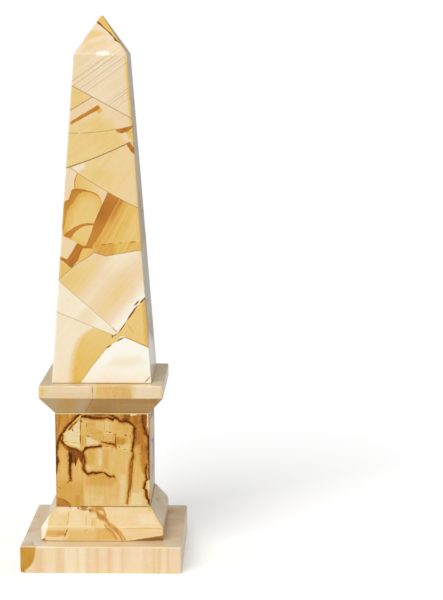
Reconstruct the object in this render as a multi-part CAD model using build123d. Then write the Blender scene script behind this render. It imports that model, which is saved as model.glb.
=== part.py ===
from build123d import *
import os

# Table ornament in the form of an obelisk, cut from veined natural stone.
# Five solid blocks stand on each other: plinth, socle, die, cap and shaft.
# The shaft's pointed top, the pyramidion, is cut from the same block.
# Adjoining blocks are stuck together by a thin bed of resin cement, set back
# from their faces, so that a fine line shows round every joint.
# Origin: centre of the underside. +Z is up and -Y is the front. Millimetres.

# Plinth: the square slab at the bottom
plinth_width = 127.0
plinth_height = 21.5
plinth_arris = 1.4          # radius of the worn upper edges
plinth_corner = 1.0         # radius of the upright corners

# Corner knocked off the plinth at the lower front left
knock_length = 3.6          # along the front
knock_rise = 5.5
knock_depth = 4.0

# Socle: a band under a slope that runs in to the die
socle_width = 96.5
socle_band_height = 11.0
socle_slope_height = 14.0
socle_ledge = 0.9           # how far the socle's top stands out round the die
socle_arris = 0.5

# Die: the square pedestal block
die_width = 74.6
die_height = 75.7
die_arris = 0.5

# Cap: a splay that widens from the die to a square fascia
cap_overhang = 11.5         # how far the fascia stands out past the die
cap_splay_height = 13.8
cap_fascia_height = 10.2
cap_lip = 0.4               # how far the foot of the splay stands past the die
cap_arris = 1.5             # radius of the worn upper edges
cap_corner = 0.8            # radius of the upright corners

# Shaft: tapered, ending in the pyramidion
shaft_width = 78.6
shaft_shoulder_width = 41.6
shaft_height = 256.6
pyramidion_height = 29.6
tip_width = 1.6             # the point is slightly blunt
shaft_arris = 0.7

# Resin cement beds
bed_thickness = 0.4
bed_setback = 0.7           # how far a bed ends inside the smaller block's faces

# Chip at the socle's lower right front corner
chip_length = 28.0          # along the front, from the corner
chip_rise = 4.6             # at the corner
chip_depth = 4.5            # into the band, at the corner

# Small chip at the socle's lower left front corner
nick_length = 5.0
nick_rise = 1.4
nick_depth = 1.6

# Widths and heights that follow
socle_top_width = die_width + 2 * socle_ledge
cap_foot_width = die_width + 2 * cap_lip
cap_width = die_width + 2 * cap_overhang

socle_z = plinth_height + bed_thickness
die_z = socle_z + socle_band_height + socle_slope_height + bed_thickness
cap_z = die_z + die_height + bed_thickness
shaft_z = cap_z + cap_splay_height + cap_fascia_height + bed_thickness


def stacked(levels):
    """One solid through square sections, given as (width, height above the base)."""
    body = Part()
    for (low_width, low_z), (high_width, high_z) in zip(levels, levels[1:]):
        low = Pos(0, 0, low_z) * Rectangle(low_width, low_width)
        high = Pos(0, 0, high_z) * Rectangle(high_width, high_width)
        body += loft([low, high], ruled=True)
    return body


def upright_edges(block):
    """Edges that climb from one level to another."""
    return [edge for edge in block.edges() if abs(edge.tangent_at(0.5).Z) > 0.1]


def level_edges(block, height):
    """Edges that lie level at a height."""
    return [
        edge
        for edge in block.edges()
        if abs(edge.tangent_at(0.5).Z) < 0.01 and abs(edge.center().Z - height) < 0.01
    ]


def corner_wedge(width, side, length, rise, depth):
    """Sliver that a knock took off a lower front corner; side is 1 right, -1 left."""
    corner = Vector(side * width / 2, -width / 2, 0)
    along = corner + Vector(-side * length, 0, 0)
    inwards = corner + Vector(0, depth, 0)
    upwards = corner + Vector(0, 0, rise)
    points = [corner, along, inwards, upwards]
    triangles = [(0, 1, 2), (0, 1, 3), (0, 2, 3), (1, 2, 3)]
    faces = [Face(Wire.make_polygon([points[i] for i in tri])) for tri in triangles]
    return Solid(Shell(faces))


def make_plinth():
    block = stacked([(plinth_width, 0), (plinth_width, plinth_height)])
    block = fillet(upright_edges(block), plinth_corner)
    block = fillet(level_edges(block, plinth_height), plinth_arris)
    return block - corner_wedge(plinth_width, -1, knock_length, knock_rise, knock_depth)


def make_socle():
    band_top = socle_band_height
    top = band_top + socle_slope_height
    block = stacked([(socle_width, 0), (socle_width, band_top), (socle_top_width, top)])
    block = fillet(upright_edges(block) + level_edges(block, band_top), socle_arris)
    block -= corner_wedge(socle_width, 1, chip_length, chip_rise, chip_depth)
    block -= corner_wedge(socle_width, -1, nick_length, nick_rise, nick_depth)
    return Pos(0, 0, socle_z) * block


def make_die():
    block = stacked([(die_width, 0), (die_width, die_height)])
    return Pos(0, 0, die_z) * fillet(upright_edges(block), die_arris)


def make_cap():
    splay_top = cap_splay_height
    top = splay_top + cap_fascia_height
    block = stacked([(cap_foot_width, 0), (cap_width, splay_top), (cap_width, top)])
    block = fillet(upright_edges(block), cap_corner)
    return Pos(0, 0, cap_z) * fillet(level_edges(block, top), cap_arris)


def make_shaft():
    tip_z = shaft_height + pyramidion_height
    block = stacked([(shaft_width, 0), (shaft_shoulder_width, shaft_height), (tip_width, tip_z)])
    arrises = upright_edges(block) + level_edges(block, shaft_height)
    return Pos(0, 0, shaft_z) * fillet(arrises, shaft_arris)


def make_bed(seated_width, top_z):
    width = seated_width - 2 * bed_setback
    return Pos(0, 0, top_z - bed_thickness) * stacked([(width, 0), (width, bed_thickness)])


nodes = {
    "plinth": make_plinth(),
    "socle_bed": make_bed(socle_width, socle_z),
    "socle": make_socle(),
    "die_bed": make_bed(die_width, die_z),
    "die": make_die(),
    "cap_bed": make_bed(die_width, cap_z),
    "cap": make_cap(),
    "shaft_bed": make_bed(shaft_width, shaft_z),
    "shaft": make_shaft(),
}

os.makedirs("parts", exist_ok=True)
for name, solid in nodes.items():
    export_step(solid, f"parts/{name}.step")

total_height = shaft_z + shaft_height + pyramidion_height
print(f"height {total_height:.1f} mm, base {plinth_width:.1f} mm square")
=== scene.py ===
import math

import bpy
import numpy as np
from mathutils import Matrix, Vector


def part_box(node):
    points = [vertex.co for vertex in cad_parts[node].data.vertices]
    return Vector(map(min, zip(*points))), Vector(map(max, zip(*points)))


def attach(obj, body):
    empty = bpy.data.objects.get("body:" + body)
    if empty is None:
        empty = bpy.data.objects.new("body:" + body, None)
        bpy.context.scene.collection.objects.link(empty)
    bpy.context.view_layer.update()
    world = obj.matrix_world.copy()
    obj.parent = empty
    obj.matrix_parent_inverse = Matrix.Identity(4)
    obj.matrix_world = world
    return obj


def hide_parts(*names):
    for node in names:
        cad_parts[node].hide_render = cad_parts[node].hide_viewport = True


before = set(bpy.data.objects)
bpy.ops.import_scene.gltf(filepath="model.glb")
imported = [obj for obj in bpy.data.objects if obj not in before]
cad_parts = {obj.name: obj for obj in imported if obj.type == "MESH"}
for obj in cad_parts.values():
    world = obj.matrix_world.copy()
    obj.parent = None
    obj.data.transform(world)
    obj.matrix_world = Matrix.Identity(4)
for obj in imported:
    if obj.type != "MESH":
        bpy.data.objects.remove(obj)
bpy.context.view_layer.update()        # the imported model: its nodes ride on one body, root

mm = 0.001                                  # shapes and figures are written in millimetres
body = "root"
roundSteps = 6                              # steps round an upright arris, and round a level one
print("frame loaded,", len(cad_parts), "stone and cement nodes")


# Ring round a square block. On a side the seat runs s = sin(pi t / 2), so its points gather
# at the corners; at a corner the outward direction turns evenly through a right angle.
def squareRing(sideSteps, cornerSteps):
    s = np.sin(np.linspace(-1, 1, sideSteps + 1) * math.pi / 2)
    turn = np.linspace(0, math.pi / 2, cornerSteps + 1)[1:-1]
    seat = np.concatenate([s - 1j, np.full(len(turn), 1 - 1j)])
    out = np.concatenate([np.full(len(s), -1j), -1j * np.exp(1j * turn)])
    quarters = 1j ** np.arange(4)
    return np.outer(quarters, seat).ravel(), np.outer(quarters, out).ravel()


# Outline from foot to top as (half width, height). Straight runs are cut every step, and each
# corner is the parabola (1-t)^2 a + 2t(1-t) corner + t^2 b, which touches both of its runs.
def profileLine(corners, step):
    line = [np.array([corners[0][:2]], float)]
    t = np.linspace(0, 1, roundSteps + 1)[:, None]
    for before, (half, height, ease), after in zip(corners, corners[1:], corners[2:]):
        corner = np.array((half, height))
        back, on = np.array(before[:2]) - corner, np.array(after[:2]) - corner
        a = corner + back / np.hypot(*back) * ease
        b = corner + on / np.hypot(*on) * ease
        bend = (1 - t) ** 2 * a + 2 * t * (1 - t) * corner + t ** 2 * b
        line += [straightRun(line[-1][-1], a, step), bend]
    line.append(straightRun(line[-1][-1], np.array(corners[-1][:2], float), step))
    line.append(np.array([corners[-1][:2]], float))
    return np.concatenate(line)


# Points from a towards b, both ends left out, no further apart than step.
def straightRun(a, b, step):
    steps = max(2, int(np.ceil(np.hypot(*(b - a)) / step)))
    return a + (b - a) * (np.arange(1, steps) / steps)[:, None]


# Sum of six plane waves in seeded directions: a smooth unevenness between about -1 and 1.
def ripple(points, wavelength, seed):
    rng = np.random.default_rng(seed)
    way = rng.normal(size=(6, 3))
    length = np.linalg.norm(way, axis=1)[:, None]
    way *= (2 * math.pi / wavelength) * rng.uniform(0.7, 1.6, (6, 1)) / length
    phase = rng.uniform(0, 2 * math.pi, 6)
    return np.sin(points @ way.T + phase).mean(axis=1) * 1.6


# Flake: the stone beyond a plane is moved back on to it, and the break is left uneven. With a
# reach the break is a shallow bowl instead: the plane rises by depth (distance / reach)^2.
def flake(points, chip, seed):
    facing = np.array(chip["facing"], float)
    facing /= np.linalg.norm(facing)
    corner = np.array(chip["corner"], float)
    level = corner @ facing - chip["depth"]
    if "reach" in chip:
        level = level + chip["depth"] * (np.linalg.norm((points - corner) / chip["reach"], axis=1)) ** 2
    over = points @ facing - level + chip["rough"] * (1 + ripple(points, chip["grain"], seed))
    cut = (over > 0) & (points @ facing > level - 3 * chip["rough"])
    return points - np.where(cut, over, 0)[:, None] * facing, cut


# One block of stone on the body: the ring is carried up the outline, and the chips are broken off.
def stoneBlock(name, node, look, outline, chips):
    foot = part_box(node)[0].z / mm
    line = profileLine(outline, look["step"])
    half, height = line[1:-1, 0], line[1:-1, 1]
    radius = np.minimum(look["cornerRadius"], half * 0.5)
    seat, out = squareRing(look["sideSteps"], roundSteps)
    plan = np.outer(half - radius, seat) + np.outer(radius, out)
    rise = np.repeat(height[:, None], plan.shape[1], axis=1)
    ring = np.stack([plan.real, plan.imag, rise], axis=-1).reshape(-1, 3)
    points = np.concatenate([ring, [[0, 0, line[0, 1]], [0, 0, line[-1, 1]]]])
    broken = np.zeros(len(points))
    for seed, chip in enumerate(chips):
        points, cut = flake(points, chip, seed + 40)
        broken = np.maximum(broken, cut)
    points[:, 2] += foot
    mesh = skinMesh(name, points * mm, len(half), len(seat))
    mesh.attributes.new("broken", "FLOAT", "POINT").data.foreach_set("value", broken)
    piece = bpy.data.objects.new(name, mesh)
    bpy.context.scene.collection.objects.link(piece)
    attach(piece, body)
    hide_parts(node)
    print(name, "made,", len(points), "points")
    return piece


# Faces of a closed skin of rows x around points, whose last two points are its foot and top.
def skinMesh(name, points, rows, around):
    k = np.arange(rows * around).reshape(rows, around)
    on = np.roll(k, -1, axis=1)
    quads = np.stack([k[:-1], on[:-1], on[1:], k[1:]], axis=-1).reshape(-1, 4)
    foot, top = rows * around, rows * around + 1
    below = np.stack([on[0], k[0], np.full(around, foot)], axis=-1)
    above = np.stack([k[-1], on[-1], np.full(around, top)], axis=-1)
    mesh = bpy.data.meshes.new(name)
    mesh.from_pydata(points.tolist(), [], quads.tolist() + below.tolist() + above.tolist())
    mesh.shade_smooth()
    return mesh


# What all the stones share: breadths of their unevenness in millimetres, and how drawn lines end.
stoneGrain = {
    "swayWidth": 28, "swayDepth": 30,       # the figure's sway, and the depth that it grows over
    "jitterWidth": 2.2, "jitter": 0.5,      # fine unevenness of every edge
    "grainWidth": 0.8, "cloudWidth": 22, "hueWidth": 6,
    "grainRough": 0.12, "crackRough": 0.35, "grainHeight": 0.12,
    "thinning": 1.5,                        # how far a drawn line thins away past its ends
    "dashEnd": 0.4, "dashEdge": 0.17,       # a short stroke's overrun, and what it loses all round
}
ashTone = (160, 122, 80)
hueTints = [                        # faint changes of hue: where a noise is from, to, and the tint
    (0.52, 0.66, (0.95, 1, 0.74, 1)),
    (0.48, 0.34, (1.03, 0.93, 0.95, 1)),
]

# The stone's colours from its palest to its darkest tone.
stoneTones = [
    (0, (253, 249, 238)),
    (0.15, (247, 233, 204)),
    (0.3, (242, 216, 178)),
    (0.45, (238, 207, 138)),
    (0.6, (232, 190, 98)),
    (0.72, (220, 163, 68)),
    (0.86, (193, 121, 38)),
    (0.94, (120, 65, 25)),
    (1, (60, 32, 15)),
]


# One value that changes through the stone. Sums and products on it add Math nodes.
class Field:
    def __init__(self, nodes, socket):
        self.nodes, self.socket = nodes, socket

    # Another output of the same node.
    def output(self, name):
        return Field(self.nodes, self.socket.node.outputs[name])

    def __add__(self, other):
        return self.nodes.maths("ADD", self, other)

    def __sub__(self, other):
        return self.nodes.maths("SUBTRACT", self, other)

    def __rsub__(self, other):
        return self.nodes.maths("SUBTRACT", other, self)

    def __mul__(self, other):
        return self.nodes.maths("MULTIPLY", self, other)

    def __truediv__(self, other):
        return self.nodes.maths("DIVIDE", self, other)

    def __rtruediv__(self, other):
        return self.nodes.maths("DIVIDE", other, self)

    def __neg__(self):
        return self.nodes.maths("MULTIPLY", self, -1)

    def __abs__(self):
        return self.nodes.maths("ABSOLUTE", self)

    __radd__ = __add__
    __rmul__ = __mul__


# Builds the nodes of one tree.
class Nodes:
    def __init__(self, tree):
        self.tree = tree

    # Any node: its settings first, then the values or links of its sockets.
    def node(self, kind, settings, sockets, output=0):
        made = self.tree.nodes.new(kind)
        for key, value in settings.items():
            if key == "stops":
                setStops(made.color_ramp, value)
            elif key == "points":
                setPoints(made.mapping, value, settings["handles"])
            elif key != "handles":
                setattr(made, key, value)
        for key, value in sockets.items():
            self.feed(made.inputs[key], value)
        return Field(self, made.outputs[output])

    def feed(self, socket, value):
        if isinstance(value, Field):
            self.tree.links.new(value.socket, socket)
        else:
            socket.default_value = value

    def maths(self, operation, *values, clamp=False):
        settings = {"operation": operation, "use_clamp": clamp}
        return self.node("ShaderNodeMath", settings, dict(enumerate(values)))

    def vectorMaths(self, operation, sockets, output=0):
        return self.node("ShaderNodeVectorMath", {"operation": operation}, sockets, output)

    # value * factor + more in one node; a ramp holds it between 0 and 1.
    def scaled(self, value, factor, more):
        return self.maths("MULTIPLY_ADD", value, factor, more)

    def ramp(self, value, factor, more):
        return self.maths("MULTIPLY_ADD", value, factor, more, clamp=True)

    def vector(self, *parts):
        return self.node("ShaderNodeCombineXYZ", {}, dict(enumerate(parts)))

    def noise(self, vector, scale, detail=2, roughness=0.5, output=0):
        sockets = {"Vector": vector, "Scale": scale, "Detail": detail, "Roughness": roughness}
        return self.node("ShaderNodeTexNoise", {}, sockets, output)

    # One colour carried towards another, or multiplied by it, by a share.
    def mix(self, share, colour, other, blend="MIX"):
        settings = {"data_type": "RGBA", "blend_type": blend}
        return self.node("ShaderNodeMix", settings, {0: share, 6: colour, 7: other}, 2)

    # A value is carried towards new wherever the mask is.
    def paint(self, value, new, mask):
        return value + (new - value) * mask


# One material, and the marks that are laid on its figure.
class Stone(Nodes):
    def __init__(self, name):
        self.material = bpy.data.materials.new(name)
        self.material.use_nodes = True
        super().__init__(self.material.node_tree)
        self.shader = self.tree.nodes["Principled BSDF"]
        self.ash = []                       # masks of grey lines, laid over the tones

    # The figure's own axes, in millimetres. wide = -2 x y / width runs round the block, so each
    # side carries the figure the other way round; high climbs, tilts with the depth behind the
    # front face and sways there, so that no two sides are cut alike. With a lean, the figure
    # runs straight back into the block instead, slanted by it.
    def lay(self, node, halfWidth, look):
        place = self.node("ShaderNodeTexCoord", {}, {}, "Object")
        self.position = self.vectorMaths("SCALE", {0: place, "Scale": 1 / mm})
        self.x = self.node("ShaderNodeSeparateXYZ", {}, {0: self.position})
        y = self.x.output("Y")
        self.height = self.x.output("Z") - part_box(node)[0].z / mm
        self.half = halfWidth(self, self.height, look)
        self.depth = y + self.half
        if "lean" in look:
            across = self.x + self.depth * look["lean"]
        else:
            across = -self.x * y / self.half
        shifted = self.vectorMaths("ADD", {0: self.position, 1: (look["seed"], 0, 0)})
        drift = self.noise(shifted, 1 / stoneGrain["swayWidth"], 1, output="Color")
        drift = self.node("ShaderNodeSeparateXYZ", {}, {0: drift})
        reach = stoneGrain["swayDepth"]
        grown = self.least(self.depth, reach) * (look["sway"] * 2 / reach)
        jitter = (self.noise(self.position, 1 / stoneGrain["jitterWidth"], 1) - 0.5) * stoneGrain["jitter"]
        self.wide = across + (drift - 0.5) * grown + jitter
        climb = self.height + self.depth * look["dip"]
        self.high = climb + (drift.output("Y") - 0.5) * grown - jitter
        self.streaks = {name: self.strata(*streak) for name, streak in look["streaks"].items()}

    # Each ground of a piece, with its streaks in it.
    def grounds(self, look):
        return {
            name: sum((self.streaks[sort] * share for sort, share in parts.items()), tone)
            for name, (tone, parts) in look["grounds"].items()
        }

    # 1 where the distance is positive, 0 where it is negative, with a soft edge in millimetres.
    def side(self, distance, soft=0.35):
        return self.ramp(distance, 1 / soft, 0.5)

    # 1 within half a width of the middle of a stroke, by the distance from its middle.
    def stroke(self, distance, half, soft=0.35):
        return self.ramp(abs(distance), -1 / soft, half / soft + 0.5)

    # A grey line along the middle of a stroke, as strong as its share.
    def ashen(self, distance, half, share):
        self.ash.append(self.stroke(distance, half) * share)

    def least(self, *values):
        found = values[0]
        for value in values[1:]:
            found = self.maths("MINIMUM", found, value)
        return found

    def most(self, *values):
        found = values[0]
        for value in values[1:]:
            found = self.maths("MAXIMUM", found, value)
        return found

    # Height above the seam a + b wide + c wide^2, measured square to it.
    def seam(self, a, b, c=0):
        cosine = 1 / math.hypot(1, b)
        rise = self.wide * (-c * cosine) - b * cosine if c else -b * cosine
        return self.high * cosine + (self.wide * rise - a * cosine)

    # Distance above an edge that runs across, and to the right of an edge that climbs.
    def above(self, edge):
        return self.high - self.curve(self.wide, [(x, h) for x, h, *_ in edge])

    def rightOf(self, edge, handles="VECTOR"):
        return self.wide - self.curve(self.high, [(h, x) for x, h, *_ in edge], handles)

    # Distance from the line through two points, positive on its left.
    def fence(self, start, end):
        (x0, h0), (x1, h1) = start, end
        run = math.hypot(x1 - x0, h1 - h0)
        c, s = (x1 - x0) / run, (h1 - h0) / run
        return self.scaled(self.high, c, self.scaled(self.wide, -s, x0 * s - h0 * c))

    # Distance inside a patch whose corners run anticlockwise: the least of its fences.
    def patch(self, corners):
        return self.least(*[self.fence(a, b) for a, b in zip(corners, corners[1:] + corners[:1])])

    # Distance inside a line drawn along a guide. Its middle and half width follow points (guide,
    # place, half width). A slope stretches the width, and past both ends the line thins away.
    def drawn(self, guide, place, line):
        at, middle, half = np.array(sorted(line), float).T
        reach = half * np.hypot(1, np.gradient(middle, at))
        end = stoneGrain["thinning"]
        reach = [(at[0] - end, -2 * end), *zip(at, reach), (at[-1] + end, -2 * end)]
        return self.curve(guide, reach) - abs(place - self.curve(guide, zip(at, middle)))

    # Lines that run across and lines that climb, as points (wide, high, half width).
    def across(self, line):
        return self.drawn(self.wide, self.high, line)

    def climbing(self, line):
        return self.drawn(self.high, self.wide, [(h, x, half) for x, h, half in line])

    # Distance inside an edge that turns round a centre, as points (wide, high).
    def turning(self, centre, edge):
        x, h = self.wide - centre[0], self.high - centre[1]
        out = [(a - centre[0], b - centre[1]) for a, b in edge]
        turn = [(math.atan2(a, b), math.hypot(a, b)) for a, b in out]
        return self.curve(self.maths("ARCTAN2", x, h), turn) - self.maths("SQRT", x * x + h * h)

    # Distance inside a course between two edges that run across.
    def course(self, lower, upper):
        return self.least(-self.above(upper), self.above(lower))

    # Rank of a streak that rises to the right at an angle: high cos - wide sin.
    def slant(self, angle):
        turn = math.radians(angle)
        return self.scaled(self.high, math.cos(turn), self.wide * -math.sin(turn))

    # Distance inside a short straight stroke. Its half width is (half + edge) (1 - (along / reach)^2)
    # less edge, which brings it to a point a little before its reach.
    def dash(self, start, end, half):
        (x0, h0), (x1, h1) = start, end
        run = math.hypot(x1 - x0, h1 - h0)
        c, s = (x1 - x0) / run, (h1 - h0) / run
        middle = ((x0 + x1) * c + (h0 + h1) * s) / 2
        along = self.scaled(self.wide, c, self.scaled(self.high, s, -middle))
        reach, edge = run / 2 + stoneGrain["dashEnd"], stoneGrain["dashEdge"]
        width = self.scaled(along * along, -(half + edge) / reach ** 2, half)
        return width - abs(self.fence(start, end))

    def scratches(self, lines):
        return self.side(self.most(*[self.dash(*line) for line in lines]))

    # Patches laid one over another, as (tone, soft edge, strength, corners).
    def inlay(self, tone, patches, streak):
        for new, soft, strength, corners in patches:
            tone = self.paint(tone, new + streak, strength * self.side(self.patch(corners), soft))
        return tone

    def curve(self, value, points, handles="VECTOR"):
        settings = {"points": sorted((float(a), float(b)) for a, b in points), "handles": handles}
        return self.node("ShaderNodeFloatCurve", settings, {"Factor": 1, "Value": value})

    # Streaks that rise to the right at an angle, as a value about 0.
    def strata(self, angle, pitch, length, seed):
        turn = math.radians(angle)
        along = self.scaled(self.wide, math.cos(turn), self.high * math.sin(turn))
        place = self.vector(self.slant(angle) / pitch, along / length, seed)
        return self.noise(place, 1, 3, 0.55) - 0.5

    # Tone to colour, then grain, ashen lines, cracks and polish on the shader.
    def finish(self, look, tone, cracks):
        common = stoneGrain
        grain = self.noise(self.position, 1 / common["grainWidth"], 3, 0.6) - 0.5
        cloud = self.noise(self.position, 1 / common["cloudWidth"]) - 0.5
        broken = self.node("ShaderNodeAttribute", {"attribute_name": "broken"}, {}, "Fac")
        # knocked stone takes its fresh tone; on the shaft's and cap's bruises this pale tone is partly a
        # painted highlight
        tone = self.paint(tone, look["fresh"], broken)
        tone = tone + grain * look["grain"] + cloud * look["cloud"]
        colour = self.node("ShaderNodeValToRGB", {"stops": look.get("tones", stoneTones)}, {0: tone})
        drift = self.noise(self.position, 1 / common["hueWidth"])
        for low, high, tint in hueTints:
            share = self.ramp(drift, 1 / (high - low), -low / (high - low)) * look["drift"]
            colour = self.mix(share, colour, tint, "MULTIPLY")
        if self.ash:
            colour = self.mix(self.most(*self.ash), colour, written(ashTone))
        inputs = self.shader.inputs
        self.feed(inputs["Base Color"], colour)
        rough = look["polish"] + common["crackRough"] * self.most(cracks, broken)
        self.feed(inputs["Roughness"], rough + common["grainRough"] * grain)
        inputs["Specular IOR Level"].default_value = look["gloss"]
        relief = grain * common["grainHeight"] - cracks
        sockets = {"Strength": 1, "Distance": look["crackDepth"] * mm, "Height": relief}
        self.feed(inputs["Normal"], self.node("ShaderNodeBump", {}, sockets))
        return self.material


def setStops(ramp, stops):
    while len(ramp.elements) < len(stops):
        ramp.elements.new(0.5)
    for element, (place, colour) in zip(ramp.elements, stops):
        element.position = place
        element.color = written(colour)


def setPoints(mapping, points, handles):
    mapping.use_clip = False
    mapping.extend = "HORIZONTAL"
    curve = mapping.curves[0]
    curve.points[0].location = points[0]
    curve.points[1].location = points[-1]
    for point in points[1:-1]:
        curve.points.new(*point)
    for point in curve.points:
        point.handle_type = handles
    mapping.update()


# A written 0-255 colour value as the linear light that it stands for.
def linear(value):
    v = value / 255
    return v / 12.92 if v < 0.04045 else ((v + 0.055) / 1.055) ** 2.4


def written(colour):
    return (*[linear(value) for value in colour], 1)


def halfOf(node):
    low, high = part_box(node)
    return (high.x - low.x) / 2 / mm


def tallOf(node):
    low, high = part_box(node)
    return (high.z - low.z) / mm


knockGrain = {"rough": 0.08, "grain": 3}    # unevenness of a knocked corner, and its breadth


# Sliver knocked off a lower front corner: the plane through the three points where it starts.
def knock(node, side, length, rise, depth):
    facing = np.array([side / length, -1 / depth, -1 / rise])
    corner = (side * halfOf(node), -halfOf(node), 0)
    return {"corner": corner, "facing": facing, "depth": 1 / np.linalg.norm(facing), **knockGrain}
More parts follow.
